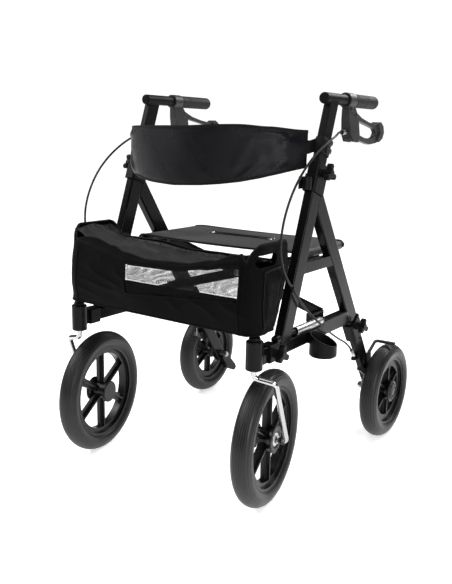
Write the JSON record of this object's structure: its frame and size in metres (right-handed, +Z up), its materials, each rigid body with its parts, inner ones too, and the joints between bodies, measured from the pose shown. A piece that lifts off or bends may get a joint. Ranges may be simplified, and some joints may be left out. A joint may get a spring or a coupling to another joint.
{
  "type": "rollator walker",
  "caption": "Folding rollator walker with large wheels, a seat with a slot, a curved backrest band, a storage bag, loop brakes and height-adjustable handles.",
  "frame": {"origin": "on the floor, under the middle of the whole walker's box", "axes": "+Z up, -Y the way the walker rolls, +X the user's left"},
  "size_m": [0.6545, 0.7992, 0.8995],
  "materials": {
    "frame_tube": "satin black anodised tube",
    "moulded_plastic": "fine-grained black moulding",
    "grip_rubber": "matte soft grip",
    "cable_jacket": "smooth black cable jacket",
    "brake_steel": "black coated steel",
    "rim_plastic": "semi-gloss black moulding",
    "tyre_rubber": "matte grooved rubber",
    "fastener_steel": "zinc-plated steel",
    "chrome_rod": "bright chrome",
    "bag_fabric": "coated nylon cloth",
    "seat_fabric": "reinforced woven nylon",
    "webbing": "woven webbing",
    "backrest_fabric": "padded nylon cloth"
  },
  "bodies": {
    "frame_right": {"front_leg_right": "frame_tube", "rear_leg_right": "frame_tube", "bottom_rail_right": "frame_tube", "seat_side_rail_right": "frame_tube", "height_collar_right": "moulded_plastic", "rear_collar_right": "moulded_plastic", "front_clamp_right": "moulded_plastic", "cane_clip": "moulded_plastic", "cane_cup": "moulded_plastic", "storage_bag": "bag_fabric", "cable_lower_right": "cable_jacket"},
    "cross_a": {"cross_bar_a": "frame_tube", "cross_bolt": "fastener_steel", "seat": "seat_fabric", "seat_strap": "webbing"},
    "cross_b": {"cross_bar_b": "frame_tube"},
    "frame_left": {"front_leg_left": "frame_tube", "rear_leg_left": "frame_tube", "bottom_rail_left": "frame_tube", "seat_side_rail_left": "frame_tube", "height_collar_left": "moulded_plastic", "rear_collar_left": "moulded_plastic", "front_clamp_left": "moulded_plastic", "cable_lower_left": "cable_jacket"},
    "handle_right": {"handle_post_right": "frame_tube", "grip_right": "grip_rubber", "brake_housing_right": "moulded_plastic", "cable_upper_right": "cable_jacket", "backrest": "backrest_fabric"},
    "lever_right": {"brake_lever_right": "moulded_plastic"},
    "lower_leg_right": {"lower_leg_right": "frame_tube", "rear_axle_right": "fastener_steel"},
    "brake_arm_right": {"brake_arm_right": "brake_steel"},
    "rear_wheel_right": {"rear_rim_right": "rim_plastic", "rear_tyre_right": "tyre_rubber"},
    "front_arm_right": {"front_arm_right": "frame_tube"},
    "caster_right": {"caster_fork_right": "chrome_rod"},
    "front_wheel_right": {"front_rim_right": "rim_plastic", "front_tyre_right": "tyre_rubber"},
    "height_knob_right": {"height_knob_right": "moulded_plastic"},
    "rear_knob_right": {"rear_knob_right": "moulded_plastic"},
    "front_knob_right": {"front_knob_right": "moulded_plastic"},
    "handle_left": {"handle_post_left": "frame_tube", "grip_left": "grip_rubber", "brake_housing_left": "moulded_plastic", "cable_upper_left": "cable_jacket"},
    "lever_left": {"brake_lever_left": "moulded_plastic"},
    "lower_leg_left": {"lower_leg_left": "frame_tube", "rear_axle_left": "fastener_steel"},
    "brake_arm_left": {"brake_arm_left": "brake_steel"},
    "rear_wheel_left": {"rear_rim_left": "rim_plastic", "rear_tyre_left": "tyre_rubber"},
    "front_arm_left": {"front_arm_left": "frame_tube"},
    "caster_left": {"caster_fork_left": "chrome_rod"},
    "front_wheel_left": {"front_rim_left": "rim_plastic", "front_tyre_left": "tyre_rubber"},
    "height_knob_left": {"height_knob_left": "moulded_plastic"},
    "rear_knob_left": {"rear_knob_left": "moulded_plastic"},
    "front_knob_left": {"front_knob_left": "moulded_plastic"}
  },
  "joints": [
    {"name": "fold", "type": "hinge", "parent": "frame_right", "child": "cross_a", "pos_m": [0.258, -0.1, 0.382], "axis": [0, 1, 0], "range_deg": [0, 43], "deforming": ["storage_bag", "backrest"]},
    {"name": "cross_pivot", "type": "hinge", "parent": "cross_a", "child": "cross_b", "pos_m": [0, 0, 0.458], "axis": [0, 1, 0], "range_deg": [-86, 0], "deforming": ["seat", "seat_strap"]},
    {"name": "fold_left", "type": "hinge", "parent": "cross_b", "child": "frame_left", "pos_m": [-0.258, -0.1, 0.382], "axis": [0, 1, 0], "range_deg": [0, 43]},
    {"name": "handle_height_right", "type": "slide", "parent": "frame_right", "child": "handle_right", "axis": [0, 0.3387, 0.9409], "range_m": [0, 0.12], "deforming": ["cable_upper_right"]},
    {"name": "brake_lever_right", "type": "hinge", "parent": "handle_right", "child": "lever_right", "pos_m": [0.252, 0.072, 0.85], "axis": [1, 0, 0], "range_deg": [0, 15], "stiffness_Nm_per_rad": 1.2},
    {"name": "rear_leg_length_right", "type": "slide", "parent": "frame_right", "child": "lower_leg_right", "axis": [0, 0.5721, -0.8202], "range_m": [0, 0.06], "deforming": ["cable_lower_right"]},
    {"name": "brake_arm_right", "type": "hinge", "parent": "lower_leg_right", "child": "brake_arm_right", "pos_m": [0.264, 0.236, 0.163], "axis": [-1, 0, 0], "range_deg": [0, 4]},
    {"name": "rear_wheel_spin_right", "type": "hinge", "parent": "lower_leg_right", "child": "rear_wheel_right", "pos_m": [0.298, 0.2732, 0.127], "axis": [1, 0, 0], "continuous": true},
    {"name": "front_arm_length_right", "type": "slide", "parent": "frame_right", "child": "front_arm_right", "axis": [0, -1, 0], "range_m": [0, 0.06]},
    {"name": "caster_swivel_right", "type": "hinge", "parent": "front_arm_right", "child": "caster_right", "pos_m": [0.249, -0.328, 0.36], "axis": [0, 0, 1], "continuous": true},
    {"name": "front_wheel_spin_right", "type": "hinge", "parent": "caster_right", "child": "front_wheel_right", "pos_m": [0.23703, -0.24789, 0.1525], "axis": [0.989, 0.1478, 0], "continuous": true},
    {"name": "height_knob_turn_right", "type": "hinge", "parent": "frame_right", "child": "height_knob_right", "pos_m": [0.285, -0.10123, 0.723], "axis": [1, 0, 0], "range_deg": [0, 180]},
    {"name": "rear_knob_turn_right", "type": "hinge", "parent": "frame_right", "child": "rear_knob_right", "pos_m": [0.285, 0.12949, 0.333], "axis": [1, 0, 0], "range_deg": [0, 180]},
    {"name": "front_knob_turn_right", "type": "hinge", "parent": "frame_right", "child": "front_knob_right", "pos_m": [0.285, -0.279, 0.359], "axis": [1, 0, 0], "range_deg": [0, 180]},
    {"name": "handle_height_left", "type": "slide", "parent": "frame_left", "child": "handle_left", "axis": [0, 0.3387, 0.9409], "range_m": [0, 0.12], "deforming": ["cable_upper_left"]},
    {"name": "brake_lever_left", "type": "hinge", "parent": "handle_left", "child": "lever_left", "pos_m": [-0.252, 0.072, 0.85], "axis": [1, 0, 0], "range_deg": [0, 15], "stiffness_Nm_per_rad": 1.2},
    {"name": "rear_leg_length_left", "type": "slide", "parent": "frame_left", "child": "lower_leg_left", "axis": [0, 0.5721, -0.8202], "range_m": [0, 0.06], "deforming": ["cable_lower_left"]},
    {"name": "brake_arm_left", "type": "hinge", "parent": "lower_leg_left", "child": "brake_arm_left", "pos_m": [-0.264, 0.236, 0.163], "axis": [-1, 0, 0], "range_deg": [0, 4]},
    {"name": "rear_wheel_spin_left", "type": "hinge", "parent": "lower_leg_left", "child": "rear_wheel_left", "pos_m": [-0.298, 0.2732, 0.127], "axis": [1, 0, 0], "continuous": true},
    {"name": "front_arm_length_left", "type": "slide", "parent": "frame_left", "child": "front_arm_left", "axis": [0, -1, 0], "range_m": [0, 0.06]},
    {"name": "caster_swivel_left", "type": "hinge", "parent": "front_arm_left", "child": "caster_left", "pos_m": [-0.249, -0.328, 0.36], "axis": [0, 0, 1], "continuous": true},
    {"name": "front_wheel_spin_left", "type": "hinge", "parent": "caster_left", "child": "front_wheel_left", "pos_m": [-0.26097, -0.24789, 0.1525], "axis": [0.989, 0.1478, 0], "continuous": true},
    {"name": "height_knob_turn_left", "type": "hinge", "parent": "frame_left", "child": "height_knob_left", "pos_m": [-0.285, -0.10123, 0.723], "axis": [1, 0, 0], "range_deg": [0, 180]},
    {"name": "rear_knob_turn_left", "type": "hinge", "parent": "frame_left", "child": "rear_knob_left", "pos_m": [-0.285, 0.12949, 0.333], "axis": [1, 0, 0], "range_deg": [0, 180]},
    {"name": "front_knob_turn_left", "type": "hinge", "parent": "frame_left", "child": "front_knob_left", "pos_m": [-0.285, -0.279, 0.359], "axis": [1, 0, 0], "range_deg": [0, 180]}
  ],
  "couplings": [
    {"joint": "cross_pivot", "follows": "fold", "ratio": -2},
    {"joint": "fold_left", "follows": "fold", "ratio": 1},
    {"joint": "handle_height_left", "follows": "handle_height_right", "ratio": 1},
    {"joint": "brake_arm_right", "follows": "brake_lever_right", "ratio": 0.26667},
    {"joint": "brake_arm_left", "follows": "brake_lever_left", "ratio": 0.26667}
  ]
}
